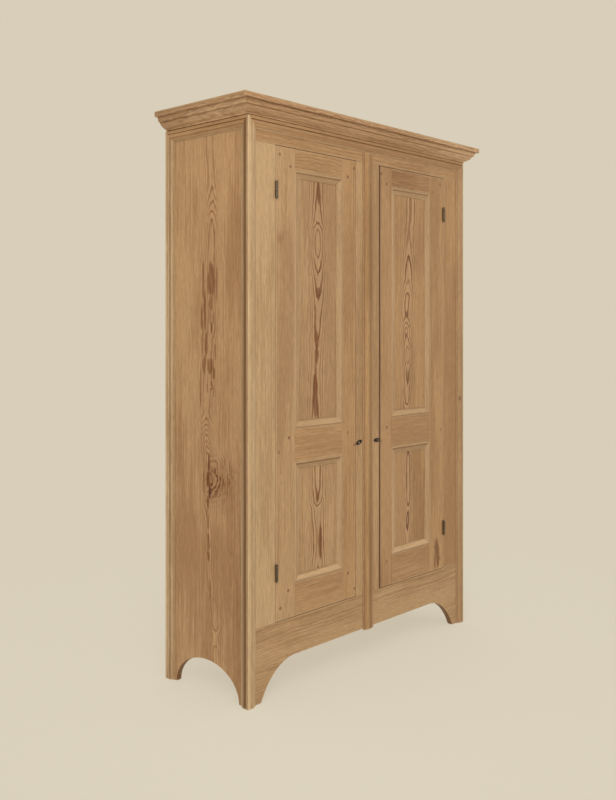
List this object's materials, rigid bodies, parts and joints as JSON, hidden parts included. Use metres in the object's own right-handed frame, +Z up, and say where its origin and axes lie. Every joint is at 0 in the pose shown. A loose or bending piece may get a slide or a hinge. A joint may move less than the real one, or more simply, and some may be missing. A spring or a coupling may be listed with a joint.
{
  "type": "pine wardrobe",
  "caption": "Tall pine wardrobe with framed and panelled doors on butt hinges, turn buttons, a stepped crown moulding, arched feet and a shelf over a rail of coat pegs",
  "frame": {"origin": "On the floor, at the middle of the outermost box, which the crown moulding sets at the front and the two sides", "axes": "+Z is up. The doors face -Y and the back boards face +Y. +X is to the right of someone who faces the doors"},
  "size_m": [1.423, 0.488, 2.08],
  "materials": {
    "pine_front": "waxed",
    "pine_side": "waxed",
    "pine_rail": "waxed",
    "pine_panel": "waxed",
    "pine_moulding": "waxed",
    "pine_inside": "bare",
    "iron": "dark"
  },
  "bodies": {
    "carcass": {"side_board_left": "pine_side", "side_board_right": "pine_side", "back_board_1": "pine_inside", "back_board_2": "pine_inside", "back_board_3": "pine_inside", "floor_board": "pine_inside", "floor_cleat_left": "pine_inside", "floor_cleat_right": "pine_inside", "shelf": "pine_inside", "shelf_cleat_left": "pine_inside", "shelf_cleat_right": "pine_inside", "peg_rail": "pine_inside", "top_board": "pine_inside", "apron": "pine_rail", "top_rail": "pine_rail", "front_stile_left": "pine_front", "front_stile_right": "pine_front", "centre_stile": "pine_front", "centre_stop": "pine_inside", "centre_moulding": "pine_moulding", "corner_moulding_left": "pine_moulding", "corner_moulding_right": "pine_moulding", "rear_moulding_left": "pine_moulding", "rear_moulding_right": "pine_moulding", "top_moulding_front": "pine_moulding", "top_moulding_left": "pine_moulding", "top_moulding_right": "pine_moulding", "crown_front": "pine_rail", "crown_left": "pine_rail", "crown_right": "pine_rail", "hinge_frame_leaf_upper_left": "iron", "hinge_frame_leaf_lower_left": "iron", "hinge_frame_leaf_upper_right": "iron", "hinge_frame_leaf_lower_right": "iron", "left_button_screw": "iron", "right_button_screw": "iron"},
    "left_door": {"left_door_hinge_stile": "pine_front", "left_door_lock_stile": "pine_front", "left_door_top_rail": "pine_rail", "left_door_middle_rail": "pine_rail", "left_door_bottom_rail": "pine_rail", "left_door_upper_panel": "pine_panel", "left_door_lower_panel": "pine_panel", "left_door_upper_panel_moulding": "pine_moulding", "left_door_lower_panel_moulding": "pine_moulding", "hinge_door_leaf_upper_left": "iron", "hinge_door_leaf_lower_left": "iron"},
    "right_door": {"right_door_hinge_stile": "pine_front", "right_door_lock_stile": "pine_front", "right_door_top_rail": "pine_rail", "right_door_middle_rail": "pine_rail", "right_door_bottom_rail": "pine_rail", "right_door_upper_panel": "pine_panel", "right_door_lower_panel": "pine_panel", "right_door_upper_panel_moulding": "pine_moulding", "right_door_lower_panel_moulding": "pine_moulding", "hinge_door_leaf_upper_right": "iron", "hinge_door_leaf_lower_right": "iron"},
    "left_turn_button": {"left_button": "iron"},
    "right_turn_button": {"right_button": "iron"}
  },
  "joints": [
    {"name": "left_door_hinge", "type": "hinge", "parent": "carcass", "child": "left_door", "pos_m": [-0.51175, -0.1945, 1.097], "axis": [0, 0, -1], "range_deg": [0, 170]},
    {"name": "right_door_hinge", "type": "hinge", "parent": "carcass", "child": "right_door", "pos_m": [0.51175, -0.1945, 1.097], "axis": [0, 0, 1], "range_deg": [0, 170]},
    {"name": "left_button_turn", "type": "hinge", "parent": "carcass", "child": "left_turn_button", "pos_m": [-0.058, -0.191, 0.85], "axis": [0, -1, 0], "continuous": true},
    {"name": "right_button_turn", "type": "hinge", "parent": "carcass", "child": "right_turn_button", "pos_m": [0.058, -0.191, 0.85], "axis": [0, -1, 0], "continuous": true}
  ]
}
